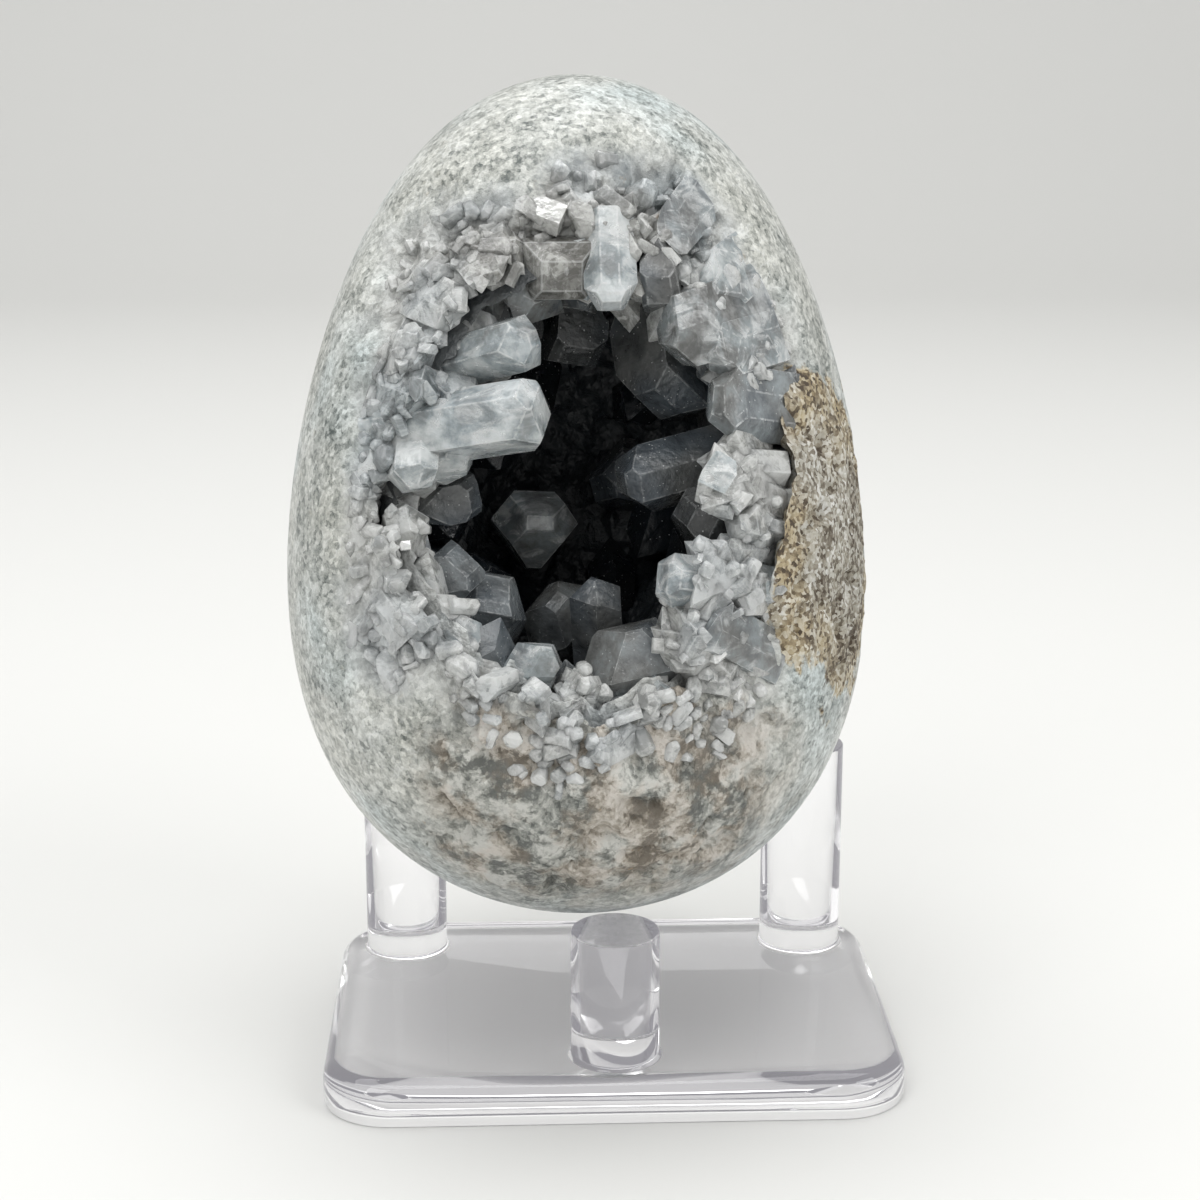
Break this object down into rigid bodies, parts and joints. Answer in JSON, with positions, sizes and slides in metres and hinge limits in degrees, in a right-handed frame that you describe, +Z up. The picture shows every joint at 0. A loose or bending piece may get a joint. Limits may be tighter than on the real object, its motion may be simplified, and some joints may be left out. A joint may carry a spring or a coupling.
{
  "type": "celestite geode egg on a peg stand",
  "caption": "Egg-shaped polished celestite geode with an open crystal-lined hollow, leaning back on a clear acrylic stand with upright pegs.",
  "frame": {"origin": "middle of the underside of the stand's base plate, on the surface that it stands on", "axes": "+Z up, +X to the right and -Y towards the viewer who faces the open hollow"},
  "size_m": [0.0878, 0.0842, 0.1429],
  "materials": {
    "stone": "ground and polished smooth, broken and sugary round the mouth",
    "crystal": "clear to milky grey-blue crystals with glassy faces",
    "acrylic": "clear polished acrylic"
  },
  "bodies": {
    "root": {"geode_egg": "stone", "crystal_crust": "crystal", "stand_plate": "acrylic", "stand_front_peg": "acrylic", "stand_left_rear_peg": "acrylic", "stand_right_rear_peg": "acrylic"}
  },
  "joints": []
}
